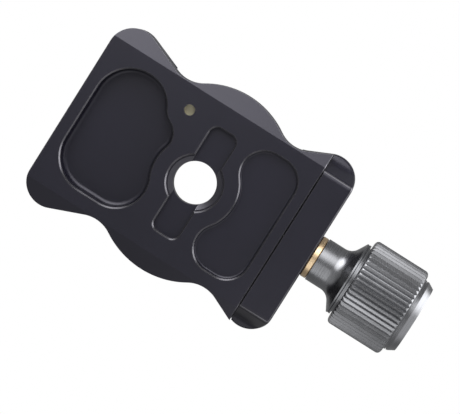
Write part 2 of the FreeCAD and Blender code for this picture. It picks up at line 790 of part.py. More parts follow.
def make_knob():
    bore = "(screw_radius + fixed_fit)"
    head_bore = "(screw_head_radius + fixed_fit)"
    groove_radius = f"({FLANGE_RADIUS} - neck_groove_depth)"
    flange_middle = "(flange_start + flange_edge / 2)"
    body = new_body("knob")
    sketch = new_sketch(body, "knob_profile", "XZ_Plane")
    draw_polygon(sketch, [
        ("0", bore),
        ("0", "neck_radius"),
        ("neck_length", "neck_radius"),
        ("flange_start", FLANGE_RADIUS),
        (f"{flange_middle} - flange_line / 2", FLANGE_RADIUS),
        (flange_middle, f"{FLANGE_RADIUS} - flange_line_depth"),
        (f"{flange_middle} + flange_line / 2", FLANGE_RADIUS),
        ("flange_start + flange_edge", FLANGE_RADIUS),
        ("flange_start + flange_edge", groove_radius),
        (DRUM_START, groove_radius),
        (DRUM_START, "drum_radius"),
        (DRUM_END, "drum_radius"),
        (DRUM_END, END_RING_RADIUS),
        (KNOB_END, END_RING_RADIUS),
        (KNOB_END, head_bore),
        ("screw_head_seat", head_bore),
        ("screw_head_seat", bore),
    ])
    add_turning(body, sketch, "knob_turning")
    add_edges(body, "Fillet", "flare", ring_edges(body, "neck_length", "neck_radius"), "flare_round")
    for name, x in (("drum_front_round", DRUM_START), ("drum_rear_round", DRUM_END)):
        add_edges(body, "Fillet", name, ring_edges(body, x, "drum_radius"), "drum_round")
    sketch = new_sketch(body, "flute", "YZ_Plane", DRUM_START)
    draw_polygon(sketch, [
        ("0", "drum_radius - flute_depth"),
        ("2 * flute_half_width", "drum_radius + flute_depth"),
        ("0 - 2 * flute_half_width", "drum_radius + flute_depth"),
    ])
    flute = add_pocket(body, sketch, "flute_cut", "drum_length", upward=True)
    flutes = body.newObject("PartDesign::PolarPattern", "flutes")
    flutes.Originals = [flute]
    flutes.Axis = (sketch, ["N_Axis"])
    flutes.setExpression("Occurrences", bound("flute_count"))
    body.Tip = flutes
    doc.recompute()
    place(body, KNOB_FACE, "0", "screw_height")
    return body


def make_knob_cap():
    spigot = "screw_head_radius"
    groove_radius = f"({CAP_RADIUS} - cap_groove_depth)"
    body = new_body("knob_cap")
    sketch = new_sketch(body, "cap_profile", "XZ_Plane")
    draw_polygon(sketch, [
        ("0 - cap_spigot_length", "0"),
        ("0 - cap_spigot_length", spigot),
        ("0", spigot),
        ("0", groove_radius),
        ("cap_groove", groove_radius),
        ("cap_groove", CAP_RADIUS),
        ("cap_groove + cap_band", CAP_RADIUS),
        ("cap_thickness", f"{CAP_RADIUS} - cap_taper"),
        ("cap_thickness", "0"),
    ])
    add_turning(body, sketch, "cap_turning")
    place(body, f"{KNOB_FACE} + {KNOB_END}", "0", "screw_height")
    return body


# Bubble level, turned about its own upright axis


def add_upright_turning(body, name, corners):
    sketch = new_sketch(body, f"{name}_profile", "XZ_Plane")
    draw_polygon(sketch, corners)
    turning = body.newObject("PartDesign::Revolution", f"{name}_turning")
    turning.Profile = sketch
    turning.ReferenceAxis = (sketch, ["V_Axis"])
    doc.recompute()


def make_level_body():
    body = new_body("level_body")
    add_upright_turning(body, "level_body", [
        ("0", "0"),
        ("level_radius", "0"),
        ("level_radius", LEVEL_LID_SEAT),
        (LEVEL_BORE, LEVEL_LID_SEAT),
        (LEVEL_BORE, "level_base"),
        ("0", "level_base"),
    ])
    place(body, LEVEL_X, LEVEL_Y, LEVEL_BOTTOM)
    return body


def make_level_window():
    """The clear lid, coned on its underside so that the bubble finds the middle."""
    body = new_body("level_window")
    add_upright_turning(body, "level_window", [
        ("0", "level_dome"),
        (LEVEL_BORE, "0"),
        ("level_radius", "0"),
        ("level_radius", "level_rim"),
        ("0", "level_rim"),
    ])
    place(body, LEVEL_X, LEVEL_Y, f"{LEVEL_BOTTOM} + {LEVEL_LID_SEAT}")
    return body


def make_level_fluid():
    """The fluid fills the cup up to the lid, less the bubble."""
    depth = f"({LEVEL_LID_SEAT} - level_base)"
    under_lid = f"({depth} + level_dome * (1 - bubble_radius / {LEVEL_BORE}) - fixed_fit)"
    body = new_body("level_fluid")
    add_upright_turning(body, "level_fluid", [
        ("0", "0"),
        (f"{LEVEL_BORE} - fixed_fit", "0"),
        (f"{LEVEL_BORE} - fixed_fit", f"{depth} - fixed_fit"),
        ("bubble_radius", under_lid),
        ("bubble_shoulder", f"{under_lid} - bubble_shoulder_depth"),
        ("0", f"{under_lid} - bubble_depth"),
    ])
    place(body, LEVEL_X, LEVEL_Y, f"{LEVEL_BOTTOM} + level_base")
    return body


pieces = [
    make_base_plate(),
    make_moving_jaw(),
    make_guide_pin("guide_pin_front", f"0 - {PIN_SPREAD}"),
    make_guide_pin("guide_pin_rear", PIN_SPREAD),
    make_return_spring("return_spring_front", f"0 - {PIN_SPREAD}"),
    make_return_spring("return_spring_rear", PIN_SPREAD),
    make_clamp_screw(),
    make_thrust_washer(),
    make_knob(),
    make_knob_cap(),
    make_level_body(),
    make_level_window(),
    make_level_fluid(),
]

# Everything has to be sound before anything is written
doc.recompute()
for item in doc.Objects:
    if {"Invalid", "Error"} & set(item.State):
        raise RuntimeError(f"{item.Label} failed: {item.State}")
for piece in pieces:
    if piece.Shape.isNull() or not piece.Shape.isValid() or len(piece.Shape.Solids) != 1:
        raise RuntimeError(f"{piece.Label} is not one sound solid")

os.makedirs("parts", exist_ok=True)
for piece in pieces:
    piece.Shape.exportStep(f"parts/{piece.Label}.step")
    print(piece.Label, round(piece.Shape.Volume, 1), "mm3")
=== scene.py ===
# %% [markdown]
# A small clamp for dovetail camera plates, seen from below as it lies in the hand: a black anodised base
# with a sliding jaw, pulled shut by a grey fluted knob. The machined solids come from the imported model
# and stay where they are. This lesson gives them their finishes, makes the two springs and the threaded
# screw that the jaw uncovers when it opens, and sets up a small studio.

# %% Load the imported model
import json
import math

import bmesh
import bpy
import numpy as np
from mathutils import Matrix, Vector


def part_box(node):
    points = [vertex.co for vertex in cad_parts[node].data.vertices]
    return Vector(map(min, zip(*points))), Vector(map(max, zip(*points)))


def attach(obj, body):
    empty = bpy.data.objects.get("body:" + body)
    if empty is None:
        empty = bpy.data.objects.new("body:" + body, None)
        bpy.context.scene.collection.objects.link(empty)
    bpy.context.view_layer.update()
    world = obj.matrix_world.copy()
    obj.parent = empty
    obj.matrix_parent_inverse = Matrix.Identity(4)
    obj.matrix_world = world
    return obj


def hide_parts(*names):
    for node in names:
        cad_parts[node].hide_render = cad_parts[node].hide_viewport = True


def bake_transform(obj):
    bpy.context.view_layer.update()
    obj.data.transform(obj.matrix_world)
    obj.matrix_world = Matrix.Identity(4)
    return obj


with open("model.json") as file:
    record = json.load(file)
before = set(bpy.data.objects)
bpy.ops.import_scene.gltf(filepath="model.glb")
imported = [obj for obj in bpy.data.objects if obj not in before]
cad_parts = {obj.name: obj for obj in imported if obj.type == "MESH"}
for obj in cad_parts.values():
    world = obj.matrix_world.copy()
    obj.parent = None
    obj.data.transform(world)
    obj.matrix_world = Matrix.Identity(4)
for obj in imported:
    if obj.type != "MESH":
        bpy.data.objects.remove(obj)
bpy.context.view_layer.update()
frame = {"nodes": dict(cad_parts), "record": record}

MM = 0.001
nodes = frame["nodes"]
print("solids in the model:", ", ".join(sorted(nodes)))

# %% [markdown]
# The camera stands below the clamp and looks almost straight up at its flat underside. A real product
# photograph of something this small is taken with a long lens from well back, so edges that are parallel
# stay parallel. The camera could be aimed with a constraint, but writing its three axes down makes the
# lean and the roll easy to read: the picture is rolled until the knob points down to the right.

# %% Place the camera
IMAGE_WIDTH = 460
IMAGE_HEIGHT = 414
SENSOR_WIDTH = 36.0
CAMERA_DISTANCE = 0.700
PIXELS_PER_METRE = 4842.0
HOLE_PIXEL_X = 194.4
HOLE_PIXEL_Y = 183.2
LEAN_ACROSS = math.radians(3.3)
LEAN_ALONG = math.radians(1.2)
ROLL = math.radians(32.27)


def beside(direction):
    """The direction nearest to the knob's axis that is square to the given one."""
    axis = Vector((1, 0, 0))
    return (axis - direction * axis.dot(direction)).normalized()


def standing(spot, right, up, back):
    """The matrix of a thing on that spot, whose own X, Y and Z point right, up and back."""
    return Matrix.Translation(spot) @ Matrix((right, up, back)).transposed().to_4x4()


def camera_axes():
    """The camera's right, up and backward directions."""
    back = Vector((
        math.sin(LEAN_ALONG) * math.cos(LEAN_ACROSS),
        -math.sin(LEAN_ACROSS),
        -math.cos(LEAN_ALONG) * math.cos(LEAN_ACROSS),
    ))
    level_right = beside(back)
    level_up = back.cross(level_right)
    right = level_right * math.cos(ROLL) + level_up * math.sin(ROLL)
    up = level_up * math.cos(ROLL) - level_right * math.sin(ROLL)
    return right, up, back


right, up, back = camera_axes()
hole_right = (HOLE_PIXEL_X - IMAGE_WIDTH / 2) / PIXELS_PER_METRE
hole_up = (IMAGE_HEIGHT / 2 - HOLE_PIXEL_Y) / PIXELS_PER_METRE
camera_spot = back * CAMERA_DISTANCE - right * hole_right - up * hole_up

lens = bpy.data.cameras.new("underside_camera")
lens.sensor_width = SENSOR_WIDTH
lens.lens = PIXELS_PER_METRE * CAMERA_DISTANCE / IMAGE_WIDTH * SENSOR_WIDTH
camera = bpy.data.objects.new("underside_camera", lens)
camera.matrix_world = standing(camera_spot, right, up, back)
bpy.context.scene.collection.objects.link(camera)
bpy.context.scene.camera = camera
bpy.context.scene.view_settings.view_transform = "Standard"
print(f"camera lens {lens.lens:.0f} mm, standing at {[round(v, 3) for v in camera_spot]}")

# %% [markdown]
# A material in Blender is a small graph of nodes. It could be drawn by hand in the shader editor, but as
# a script it can be read line by line. Most of the work is filling in sockets, each with a constant or
# with another node's output, so a few helpers that do just that keep the finishes below short.

# %% Helpers for nodes
# The mix node has sockets for each kind of value; these are the numbers of its colour sockets.
COLOUR_A = 6
COLOUR_B = 7
COLOUR_OUT = 2


def fill(tree, socket, value):
    """Sets a socket to a constant, or links it where the value is another node's output."""
    if isinstance(value, bpy.types.NodeSocket):
        tree.links.new(value, socket)
    else:
        socket.default_value = value


def set_sockets(tree, node, **sockets):
    """Fills a node's sockets by their names, with _ for a space."""
    for name, value in sockets.items():
        fill(tree, node.inputs[name.replace("_", " ")], value)


def add_node(tree, kind, settings=None, **sockets):
    """A new node with its settings and sockets filled in."""
    node = tree.nodes.new(kind)
    for name, value in (settings or {}).items():
        setattr(node, name, value)
    set_sockets(tree, node, **sockets)
    return node


def math_node(tree, operation, *values):
    """One sum of numbers or outputs."""
    node = add_node(tree, "ShaderNodeMath", {"operation": operation})
    for socket, value in zip(node.inputs, values):
        fill(tree, socket, value)
    return node.outputs["Value"]


def vector_node(tree, operation, *vectors):
    """The outputs of one sum of vectors."""
    node = add_node(tree, "ShaderNodeVectorMath", {"operation": operation})
    for socket, vector in zip(node.inputs, vectors):
        fill(tree, socket, vector)
    return node.outputs


def place(tree):
    """The point on the surface, in metres in the object's own space."""
    return add_node(tree, "ShaderNodeTexCoord").outputs["Object"]


def split(tree, vector):
    """The X, Y and Z outputs of a vector."""
    return add_node(tree, "ShaderNodeSeparateXYZ", Vector=vector).outputs


def two_colours(tree, factor, first, second):
    """A mix from the first colour to the second, each a constant or an output."""
    node = add_node(tree, "ShaderNodeMix", {"data_type": "RGBA"}, Factor=factor)
    for number, colour in ((COLOUR_A, first), (COLOUR_B, second)):
        constant = not isinstance(colour, bpy.types.NodeSocket)
        fill(tree, node.inputs[number], (*colour, 1) if constant else colour)
    return node.outputs[COLOUR_OUT]


def empty_material(name):
    """A new material and its node tree, with nothing in it yet."""
    material = bpy.data.materials.new(name)
    material.use_nodes = True
    material.node_tree.nodes.clear()
    return material, material.node_tree


def show(tree, shader):
    """Makes a shader node the look of its material."""
    add_node(tree, "ShaderNodeOutputMaterial", Surface=shader.outputs[0])


print("node helpers ready")

# %% [markdown]
# Every finish here starts from the same principled shader. No real surface has one even colour, so soft
# noise mixes two shades of it, and finer noise makes the grain. Edges are found by comparing the true
# normal with one that is rounded off over a small width: the two differ only near an edge, which is where
# a finish wears.

# %% Helpers for finishes
NOISE_LOW = 0.35
NOISE_HIGH = 0.65
EDGE_SAMPLES = 6
EDGE_FULL = 0.86
EDGE_NONE = 0.995


def new_finish(name, **sockets):
    """A material with one principled shader; sockets are its constant settings."""
    material, tree = empty_material(name)
    shader = add_node(tree, "ShaderNodeBsdfPrincipled", **sockets)
    show(tree, shader)
    return material, tree, shader


def cloud(tree, size, detail=3.0, vector=None):
    """Soft noise with lumps of about that size in metres."""
    vector = vector or place(tree)
    return add_node(tree, "ShaderNodeTexNoise", Vector=vector, Scale=1 / size, Detail=detail).outputs["Fac"]


def spread(tree, value, low, high, from_low=NOISE_LOW, from_high=NOISE_HIGH):
    """Stretches a noise value, which stays near a half, to the range low to high."""
    node = add_node(tree, "ShaderNodeMapRange", Value=value, From_Min=from_low, From_Max=from_high,
                    To_Min=low, To_Max=high)
    return node.outputs["Result"]


def patches(tree, size):
    """Soft patches from 0 to 1, of about that size in metres."""
    return spread(tree, cloud(tree, size), 0, 1)


def mottle(tree, shader, size, first, second, roughness):
    """Lets colour and roughness change together in soft patches of about that size in metres."""
    patch = patches(tree, size)
    set_sockets(tree, shader, Base_Color=two_colours(tree, patch, first, second),
                Roughness=spread(tree, patch, *roughness))


def bumped(tree, shader, height, distance, strength):
    """Lets a height pattern shade the surface as fine relief, distance metres deep."""
    bump = add_node(tree, "ShaderNodeBump", Height=height, Distance=distance, Strength=strength)
    set_sockets(tree, shader, Normal=bump.outputs["Normal"])


def near_edges(tree, width):
    """1 along the sharp edges, falling to 0 within that width: where rounded and true normals part."""
    rounded = add_node(tree, "ShaderNodeBevel", {"samples": EDGE_SAMPLES}, Radius=width).outputs["Normal"]
    true = add_node(tree, "ShaderNodeNewGeometry").outputs["Normal"]
    alike = vector_node(tree, "DOT_PRODUCT", rounded, true)["Value"]
    return spread(tree, alike, 1.0, 0.0, EDGE_FULL, EDGE_NONE)


print(f"finish helpers ready; noise is stretched from {NOISE_LOW} to {NOISE_HIGH}")

# %% [markdown]
# The base and the jaw are milled aluminium, blasted with fine beads and anodised black. The blast leaves
# a grain far finer than a pixel, which spreads the reflections, and the dye is a cold black with a little
# violet in it. Edges are rubbed first, so they come out slightly paler and smoother. So do the narrow
# chamfers round the underside, which are cut after the blasting, and to a lesser degree the sloped seat
# of the mounting hole. An image of grain would need unwrapping; noise in the object's own space needs
# none and has the right size in millimetres.

# %% Black anodised finish
BLACK_DYE = (0.0050, 0.0049, 0.0100)
THIN_BLACK_DYE = (0.0062, 0.0060, 0.0120)
RUBBED_BLACK = (0.125, 0.122, 0.135)
VIOLET_SHEEN = (0.92, 0.90, 1.0, 1)
BLACK_PATCH = 9 * MM
RUBBED_WIDTH = 0.18 * MM
RUBBED_METALLIC = 0.9
RUBBED_SMOOTHER = -0.10
BEAD_GRAIN = 0.11 * MM
BEAD_DEPTH = 0.006 * MM
BEAD_ROUGHNESS = (0.31, 0.41)
CHAMFER_NORMAL_Z = -math.sqrt(0.5)
CHAMFER_SLACK = 0.2
CHAMFER_TOP = 0.4 * MM
SEAT_REACH = 5.7 * MM
SEAT_SHARE = 0.3


def cut_slopes(tree):
    """1 on the narrow sloped faces round the underside's edges, less in the hole's seat, else 0."""
    normal = add_node(tree, "ShaderNodeNewGeometry").outputs["True Normal"]
    off_slope = math_node(tree, "SUBTRACT", split(tree, normal)["Z"], CHAMFER_NORMAL_Z)
    sloped = math_node(tree, "LESS_THAN", math_node(tree, "ABSOLUTE", off_slope), CHAMFER_SLACK)
    point = split(tree, place(tree))
    at_edge = math_node(tree, "LESS_THAN", point["Z"], CHAMFER_TOP)
    squares = [math_node(tree, "MULTIPLY", point[axis], point[axis]) for axis in "XY"]
    in_seat = math_node(tree, "LESS_THAN", math_node(tree, "ADD", *squares), SEAT_REACH ** 2)
    in_seat = math_node(tree, "MULTIPLY", in_seat, SEAT_SHARE)
    return math_node(tree, "MULTIPLY", sloped, math_node(tree, "MAXIMUM", at_edge, in_seat))


def black_anodise():
    material, tree, shader = new_finish(
        "black_anodise", IOR=1.5, Specular_IOR_Level=0.50, Specular_Tint=VIOLET_SHEEN)
    dye = two_colours(tree, patches(tree, BLACK_PATCH), BLACK_DYE, THIN_BLACK_DYE)
    rubbed = math_node(tree, "MAXIMUM", near_edges(tree, RUBBED_WIDTH), cut_slopes(tree))
    grain = cloud(tree, BEAD_GRAIN, detail=2.0)
    smoother = math_node(tree, "MULTIPLY", rubbed, RUBBED_SMOOTHER)
    set_sockets(tree, shader, Base_Color=two_colours(tree, rubbed, dye, RUBBED_BLACK),
                Metallic=math_node(tree, "MULTIPLY", rubbed, RUBBED_METALLIC),
                Roughness=math_node(tree, "ADD", spread(tree, grain, *BEAD_ROUGHNESS), smoother))
    bumped(tree, shader, grain, BEAD_DEPTH, strength=0.35)
    return material


finishes = {"black_anodised": black_anodise()}
print("made", finishes["black_anodised"].name)

# %% [markdown]
# The knob and its cap were turned on a lathe and anodised a titanium grey. A lathe tool leaves rings, so
# the pattern should run round the knob's axis whichever way a face points. Adding the distance along the
# axis to the distance from it gives one number that changes across the rings on a cylinder, a cone and an
# end face alike.

# %% Lathe rings and the grey anodised finish
GREY_DYE = (0.235, 0.238, 0.250)
THIN_GREY_DYE = (0.265, 0.268, 0.282)
RUBBED_GREY = (0.30, 0.305, 0.32)
GREY_PATCH = 5 * MM
GREY_EDGE = 0.12 * MM
KNOB_RING_PITCH = 0.16 * MM
KNOB_RING_DEPTH = 0.004 * MM
KNOB_ROUGHNESS = (0.25, 0.33)
screw_low, screw_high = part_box("clamp_screw")
AXIS_HEIGHT = (screw_low.z + screw_high.z) / 2


def lathe_path(tree):
    """A number that grows from ring to ring of a piece turned about the knob's axis."""
    point = split(tree, place(tree))
    across = math_node(tree, "MULTIPLY", point["Y"], point["Y"])
    height = math_node(tree, "SUBTRACT", point["Z"], AXIS_HEIGHT)
    squared = math_node(tree, "ADD", across, math_node(tree, "MULTIPLY", height, height))
    return math_node(tree, "ADD", point["X"], math_node(tree, "SQRT", squared))


def lathe_rings(tree, pitch):
    """Uneven rings left by a lathe tool, about pitch metres apart."""
    rings = add_node(tree, "ShaderNodeTexNoise", {"noise_dimensions": "1D"},
                     W=lathe_path(tree), Scale=1 / pitch, Detail=1.0)
    return rings.outputs["Fac"]


def grey_anodise():
    material, tree, shader = new_finish("grey_anodise", Metallic=1.0)
    dye = two_colours(tree, patches(tree, GREY_PATCH), GREY_DYE, THIN_GREY_DYE)
    rubbed = near_edges(tree, GREY_EDGE)
    rings = lathe_rings(tree, KNOB_RING_PITCH)
    set_sockets(tree, shader, Base_Color=two_colours(tree, rubbed, dye, RUBBED_GREY),
                Roughness=spread(tree, rings, *KNOB_ROUGHNESS))
    bumped(tree, shader, rings, KNOB_RING_DEPTH, strength=0.14)
    return material


finishes["grey_anodised"] = grey_anodise()
print(f"made {finishes['grey_anodised'].name}, rings about the axis {AXIS_HEIGHT / MM:.2f} mm up")

# %% [markdown]
# A brass ring lets the knob turn against the jaw. It is turned and left bare, warmer and softer in its
# shine than the anodised knob, with a slight tarnish that gathers in patches.

# %% Brass finish
BRASS = (0.86, 0.67, 0.44)
TARNISHED_BRASS = (0.78, 0.58, 0.36)
TARNISH_PATCH = 2.2 * MM
WASHER_RING_PITCH = 0.10 * MM
WASHER_RING_DEPTH = 0.005 * MM
WASHER_ROUGHNESS = (0.28, 0.40)


def turned_brass():
    material, tree, shader = new_finish("turned_brass", Metallic=1.0)
    rings = lathe_rings(tree, WASHER_RING_PITCH)
    set_sockets(tree, shader,
                Base_Color=two_colours(tree, patches(tree, TARNISH_PATCH), BRASS, TARNISHED_BRASS),
                Roughness=spread(tree, rings, *WASHER_ROUGHNESS))
    bumped(tree, shader, rings, WASHER_RING_DEPTH, strength=0.3)
    return material


finishes["brass"] = turned_brass()
print("made", finishes["brass"].name)

# %% [markdown]
# The screw is bright ground steel. The guide pins and the springs, which are drawn wire, are coloured dark
# as painted shade: where they show through the narrow gap between base and jaw, the dark colour keeps them
# as dark as the shaded gap. Grinding leaves fine scratches round a piece and drawing leaves streaks along
# the wire. All three are the same shader with the noise stretched in different ways.

# %% Steel finishes
STREAK_SIZE = 0.12 * MM
STREAK_DEPTH = 0.003 * MM
ROUND_THE_AXIS = (1.0, 0.1, 0.1)
ALONG_THE_WIRE = (0.6, 0.25, 0.25)


def streaked_steel(name, colour, darker, stretch, roughness):
    """Steel whose fine streaks are drawn out by the stretch, one factor for each direction."""
    material, tree, shader = new_finish(name, Metallic=1.0)
    drawn = add_node(tree, "ShaderNodeMapping", Vector=place(tree), Scale=stretch).outputs["Vector"]
    streaks = cloud(tree, STREAK_SIZE, vector=drawn)
    set_sockets(tree, shader, Base_Color=two_colours(tree, spread(tree, streaks, 0, 1), colour, darker),
                Roughness=spread(tree, streaks, *roughness))
    bumped(tree, shader, streaks, STREAK_DEPTH, strength=0.3)
    return material


finishes["ground_steel"] = streaked_steel(
    "bright_steel", colour=(0.60, 0.60, 0.61), darker=(0.50, 0.50, 0.51),
    stretch=ROUND_THE_AXIS, roughness=(0.20, 0.32))
# The springs' dark wire colour is painted shade for where they show in the gap.
finishes["spring_wire"] = streaked_steel(
    "drawn_wire_painted_shade", colour=(0.24, 0.24, 0.25), darker=(0.15, 0.15, 0.16),
    stretch=ALONG_THE_WIRE, roughness=(0.25, 0.40))
# The guide pins' near-black colour is painted shade for where they show in the gap.
guide_pin_painted_shade = streaked_steel(
    "pin_steel_painted_shade", colour=(0.13, 0.13, 0.14), darker=(0.08, 0.08, 0.09),
    stretch=ROUND_THE_AXIS, roughness=(0.30, 0.42))
print("made", finishes["ground_steel"].name, finishes["spring_wire"].name, guide_pin_painted_shade.name)

# %% [markdown]
# The bubble level is an acrylic cup with a clear lens over a yellow-green spirit. The lens is polished
# and the cup, which shows only as an olive spot through the small hole in the underside, is the same
# plastic tinted by the liquid behind it. Clear pieces here let light through with the shader's own
# transmission, which keeps their gloss.

# %% Clear plastic and spirit
ACRYLIC_IOR = 1.49
SPIRIT_IOR = 1.36


def clear_finish(name, ior, clearness, patch, colour, darker, roughness):
    """A glossy finish that lets a share of the light through, with faint patches in it."""
    material, tree, shader = new_finish(name, IOR=ior, Transmission_Weight=clearness)
    mottle(tree, shader, patch, colour, darker, roughness)
    return material


finishes["clear_acrylic"] = clear_finish(
    "polished_acrylic", ACRYLIC_IOR, clearness=1.0, patch=1.5 * MM,
    colour=(0.96, 0.97, 0.93), darker=(0.91, 0.94, 0.86), roughness=(0.02, 0.06))
finishes["level_fluid"] = clear_finish(
    "level_spirit", SPIRIT_IOR, clearness=0.55, patch=2.0 * MM,
    colour=(0.62, 0.70, 0.08), darker=(0.54, 0.64, 0.06), roughness=(0.03, 0.08))
level_cup_finish = clear_finish(
    "cup_acrylic", ACRYLIC_IOR, clearness=0.30, patch=0.8 * MM,
    colour=(0.92, 0.84, 0.56), darker=(0.84, 0.76, 0.49), roughness=(0.30, 0.42))
print("made", finishes["clear_acrylic"].name, level_cup_finish.name, finishes["level_fluid"].name)

# %% [markdown]
# Each solid takes the finish that the record names for it, apart from the level's cup and the guide pins,
# which have finishes of their own. Flat faces stay flat and round faces stay smooth, because the model
# already carries its true normals.

# %% Give every solid its finish


def dress(thing, finish):
    """Gives a solid one finish in place of any it had."""
    thing.data.materials.clear()
    thing.data.materials.append(finish)


for part in frame["record"]["subparts"]:
    dress(nodes[part["node"]], finishes[part["material_slot"]])
dress(nodes["level_body"], level_cup_finish)
# The guide pins take the steel whose dark colour is painted shade.
dress(nodes["guide_pin_front"], guide_pin_painted_shade)
dress(nodes["guide_pin_rear"], guide_pin_painted_shade)

# %% [markdown]
# The pieces that are modelled here are turned, coiled or printed round, so each is a row of rings with
# faces between them. Blender's own primitives and modifiers could make some of them, but with rings every
# point is placed by a formula and the meshes are closed and even.

# %% Helpers for meshes made of rings
SIDES = 48


def full_turn(sides):
    """The angles of a ring's points, in radians."""
    return [2 * math.pi * side / sides for side in range(sides)]


def skin(mesh, first, second):
    """Quads between two rings with as many points."""
    for side in range(len(first)):
        after = (side + 1) % len(first)
        mesh.faces.new((first[side], first[after], second[after], second[side]))


def closed_tube(mesh, rings):
    """Faces between neighbouring rings and over both ends."""
    for first, second in zip(rings, rings[1:]):
        skin(mesh, first, second)
    mesh.faces.new(rings[0][::-1])
    mesh.faces.new(rings[-1])


def as_object(name, mesh, finish):
    """Turns a mesh into an object of the scene with its finish."""
    data = bpy.data.meshes.new(name)
    mesh.to_mesh(data)
    mesh.free()
    data.materials.append(finish)
    thing = bpy.data.objects.new(name, data)
    bpy.context.scene.collection.objects.link(thing)
    return thing


def add_piece(name, mesh, finish):
    """A piece of the clamp, with all its faces turned outward."""
    bmesh.ops.recalc_face_normals(mesh, faces=mesh.faces)
    piece = as_object(name, mesh, finish)
    return piece


def smooth(piece, angle):
    """Smooth shading with edges sharper than the angle kept sharp."""
    piece.data.shade_smooth()
    piece.data.set_sharp_from_angle(angle=angle)


print("rings of", SIDES, "points")

# %% [markdown]
# The clamp screw is an M5 screw, and its thread shows in the gap when the jaw is open. A thread could be
# cut with a boolean, which is slow and leaves a poor mesh. A screw is turned, so a mesh of rings does
# better: the radius of each point depends on how far it is along the thread, and one formula draws the
# whole helix. The pitch is the one that couples the knob's turning to the jaw's travel.

# %% Shape of the thread and of the socket
coupling = frame["record"]["behaviour"]["couplings"][0]
THREAD_PITCH = 2 * math.pi / coupling["ratio"]
THREAD_RADIUS = 2.5 * MM
THREAD_DEPTH = 0.61 * THREAD_PITCH
THREAD_LENGTH = 26 * MM
THREAD_RUN_OUT = 2 * THREAD_PITCH
CREST_SHARE = 0.12
FLANK_SHARE = 0.70
TIP_CHAMFER = 0.6 * MM
SOCKET_ACROSS_FLATS = 4 * MM


def within(value, low, high):
    """The value, held between low and high."""
    return min(max(value, low), high)


def thread_radius(along, turn):
    """Radius of the thread at a distance from the tip and a turn about the axis, in radians."""
    phase = (along / THREAD_PITCH - turn / (2 * math.pi)) % 1.0
    from_crest = abs(2 * phase - 1)
    root = within((from_crest - CREST_SHARE) / FLANK_SHARE, 0.0, 1.0)
    fade = within((THREAD_LENGTH - along) / THREAD_RUN_OUT, 0.0, 1.0)
    full = THREAD_RADIUS - THREAD_DEPTH * root * fade
    chamfer = THREAD_RADIUS - TIP_CHAMFER - THREAD_DEPTH / 2 + along
    return min(full, chamfer)


def hexagon(turn):
    """Radius of the six-sided socket for a turn about the axis."""
    return SOCKET_ACROSS_FLATS / 2 / math.cos((turn % (math.pi / 3)) - math.pi / 6)


print(f"thread: pitch {THREAD_PITCH / MM:.2f} mm, {THREAD_DEPTH / MM:.2f} mm deep")

# %% [markdown]
# With the radius known everywhere, the screw is drawn from its tip to its head: the threaded shank in
# fine steps, the round head with its chamfer, and the socket sunk into the head. It turns with the knob,
# and it stands in for the plain cylinder of the model.

# %% Turn the screw
HEAD_RADIUS = (screw_high.z - screw_low.z) / 2
HEAD_LENGTH = 5 * MM
HEAD_CHAMFER = 0.4 * MM
SOCKET_DEPTH = 2.5 * MM
RINGS_PER_PITCH = 10
SCREW_CREASE = math.radians(35)


def turned_ring(mesh, x, radius_at):
    """One ring of vertices about the knob's axis; radius_at gives the radius for a turn."""
    ring = []
    for turn in full_turn(SIDES):
        radius = radius_at(turn)
        ring.append(mesh.verts.new((x, radius * math.cos(turn), AXIS_HEIGHT + radius * math.sin(turn))))
    return ring


def threaded_screw():
    mesh = bmesh.new()
    head = screw_high.x - HEAD_LENGTH
    rings = []
    steps = int(THREAD_LENGTH / THREAD_PITCH * RINGS_PER_PITCH)
    for step in range(steps + 1):
        along = THREAD_LENGTH * step / steps
        rings.append(turned_ring(mesh, screw_low.x + along, lambda turn: thread_radius(along, turn)))
    outline = (
        (head, THREAD_RADIUS),
        (head, HEAD_RADIUS),
        (screw_high.x - HEAD_CHAMFER, HEAD_RADIUS),
        (screw_high.x, HEAD_RADIUS - HEAD_CHAMFER),
    )
    for x, radius in outline:
        rings.append(turned_ring(mesh, x, lambda turn: radius))
    for x in (screw_high.x, screw_high.x - SOCKET_DEPTH):
        rings.append(turned_ring(mesh, x, hexagon))
    closed_tube(mesh, rings)
    return mesh


screw = add_piece("threaded_clamp_screw", threaded_screw(), finishes["ground_steel"])
smooth(screw, SCREW_CREASE)
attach(screw, "knob")
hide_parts("clamp_screw")
print(f"screw: {len(screw.data.polygons)} faces")

# %% [markdown]
# A spring round each guide pin pushes the jaw open. Each one is modelled as a tube along a helix that fills
# the box of the spring's solid.
# The end coils lie close together, as they do on a real spring, so that it stands square on its seat.

# %% Model the two springs
WIRE_RADIUS = 0.25 * MM
SPRING_TURNS = 7
CLOSED_TURNS = 0.9
CLOSED_PITCH = 2.05 * WIRE_RADIUS
STEPS_PER_TURN = 40
WIRE_SIDES = 10
SPRING_CREASE = math.radians(60)


def coil_height(turn, length):
    """Distance along the spring after that many turns; the first and last turns lie close."""
    open_turns = SPRING_TURNS - 2 * CLOSED_TURNS
    open_pitch = (length - 2 * CLOSED_TURNS * CLOSED_PITCH) / open_turns
    closed = min(turn, CLOSED_TURNS) + max(turn - CLOSED_TURNS - open_turns, 0)
    opened = within(turn - CLOSED_TURNS, 0, open_turns)
    return closed * CLOSED_PITCH + opened * open_pitch


def wire_ring(mesh, centre, outward):
    """One ring of vertices round the wire."""
    along = Vector((1, 0, 0))
    return [mesh.verts.new(centre + (outward * math.cos(bend) + along * math.sin(bend)) * WIRE_RADIUS)
            for bend in full_turn(WIRE_SIDES)]


